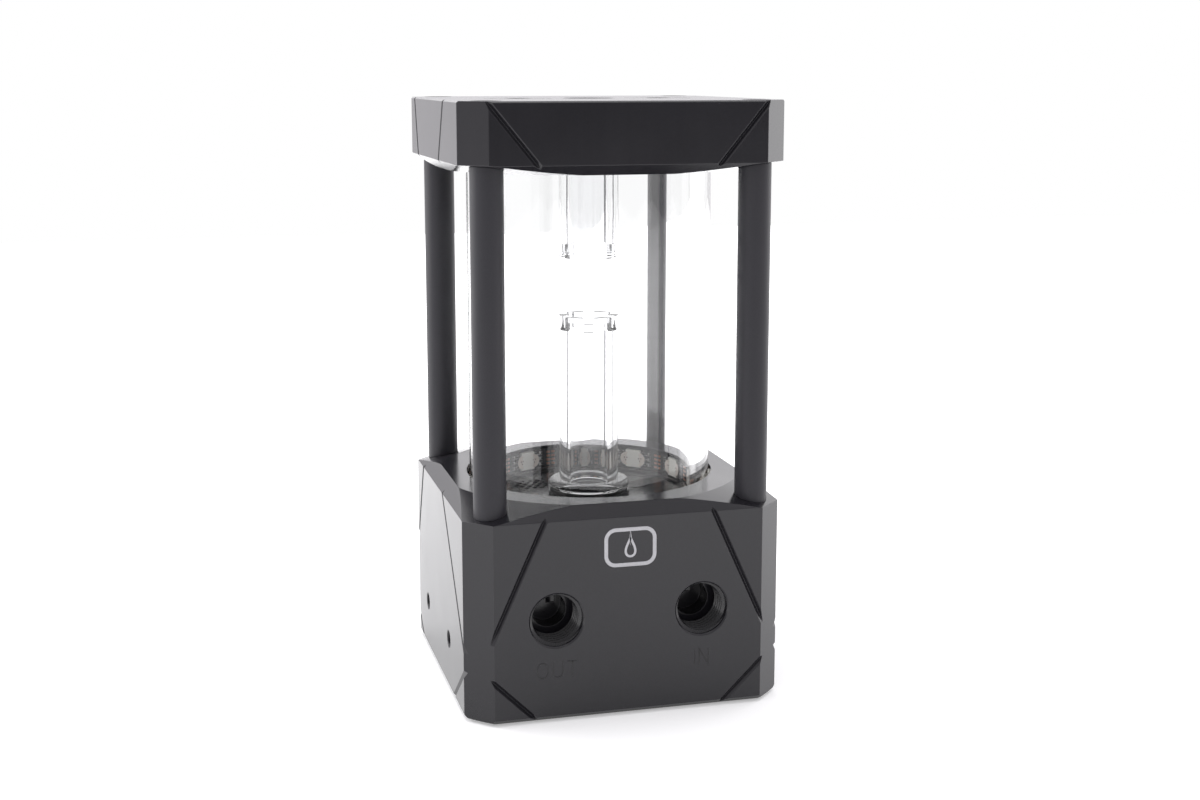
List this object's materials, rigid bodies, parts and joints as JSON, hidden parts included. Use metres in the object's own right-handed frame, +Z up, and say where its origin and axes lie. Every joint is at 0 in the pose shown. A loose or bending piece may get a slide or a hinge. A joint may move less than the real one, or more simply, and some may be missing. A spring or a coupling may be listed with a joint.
{
  "type": "coolant pump reservoir",
  "caption": "Square pump block with front threaded ports, clear coolant tube between four struts, and a cap with filling ports.",
  "frame": {"origin": "middle of the footprint, on the surface that the rubber feet stand on", "axes": "+Z up along the clear tube, the two threaded ports face -Y, +X to the right seen from the ports"},
  "size_m": [0.08, 0.08, 0.149],
  "materials": {
    "black_block": "satin black moulded and machined acetal",
    "black_strut": "satin black anodised bar",
    "black_plug": "satin black",
    "black_rubber": "matte",
    "screw_steel": "plain",
    "clear_glass": "polished",
    "clear_acrylic": "polished",
    "black_plastic": "satin",
    "board_green": "solder mask",
    "strip_black": "satin solder mask",
    "lamp_white": "gloss",
    "core_steel": "laminated",
    "copper_wire": "enamelled wire",
    "can_plastic": "moulded",
    "ceramic_white": "ground ceramic",
    "carbon_bush": "carbon",
    "magnet_dark": "sintered ferrite"
  },
  "bodies": {
    "frame": {"base_housing": "black_block", "bottom_cover": "black_block", "cover_screws": "screw_steel", "rubber_feet": "black_rubber", "cable_grommet": "black_rubber", "motor_housing": "black_plastic", "motor_screws": "screw_steel", "circuit_board": "board_green", "stator_core": "core_steel", "stator_windings": "copper_wire", "separation_can": "can_plastic", "can_seal": "black_rubber", "shaft_pin": "ceramic_white", "volute_plate": "black_plastic", "plate_seal": "black_rubber", "floor_plate": "black_plastic", "floor_grille": "black_plastic", "light_strip": "strip_black", "strip_lamps": "lamp_white", "tube_seal_lower": "black_rubber", "glass_tube": "clear_glass", "tube_seal_upper": "black_rubber", "riser_tube": "clear_acrylic", "riser_seal": "black_rubber", "drop_tube": "clear_acrylic", "strut_front_left": "black_strut", "strut_front_right": "black_strut", "strut_back_left": "black_strut", "strut_back_right": "black_strut", "strut_screws_lower": "screw_steel", "strut_screws_upper": "screw_steel", "top_cap": "black_block"},
    "rotor": {"impeller": "can_plastic", "rotor_magnet": "magnet_dark", "bearing_bush": "carbon_bush"},
    "fill_ring": {"fill_plug_seal": "black_rubber"},
    "fill_screw": {"fill_plug": "black_plug"},
    "vent_ring": {"vent_plug_seal": "black_rubber"},
    "vent_screw": {"vent_plug": "black_plug"}
  },
  "joints": [
    {"name": "rotor_spin", "type": "hinge", "parent": "frame", "child": "rotor", "pos_m": [0, 0, 0.03], "axis": [0, 0, 1], "continuous": true},
    {"name": "fill_lift", "type": "slide", "parent": "frame", "child": "fill_ring", "axis": [0, 0, 1], "range_m": [0, 0.00603]},
    {"name": "fill_turn", "type": "hinge", "parent": "fill_ring", "child": "fill_screw", "pos_m": [-0.0183, 0, 0.149], "axis": [0, 0, 1], "range_deg": [0, 1620]},
    {"name": "vent_lift", "type": "slide", "parent": "frame", "child": "vent_ring", "axis": [0, 0, 1], "range_m": [0, 0.00603]},
    {"name": "vent_turn", "type": "hinge", "parent": "vent_ring", "child": "vent_screw", "pos_m": [0.0183, 0, 0.149], "axis": [0, 0, 1], "range_deg": [0, 1620]}
  ],
  "couplings": [
    {"joint": "fill_lift", "follows": "fill_turn", "m_per_rad": 0.00021279},
    {"joint": "vent_lift", "follows": "vent_turn", "m_per_rad": 0.00021279}
  ]
}
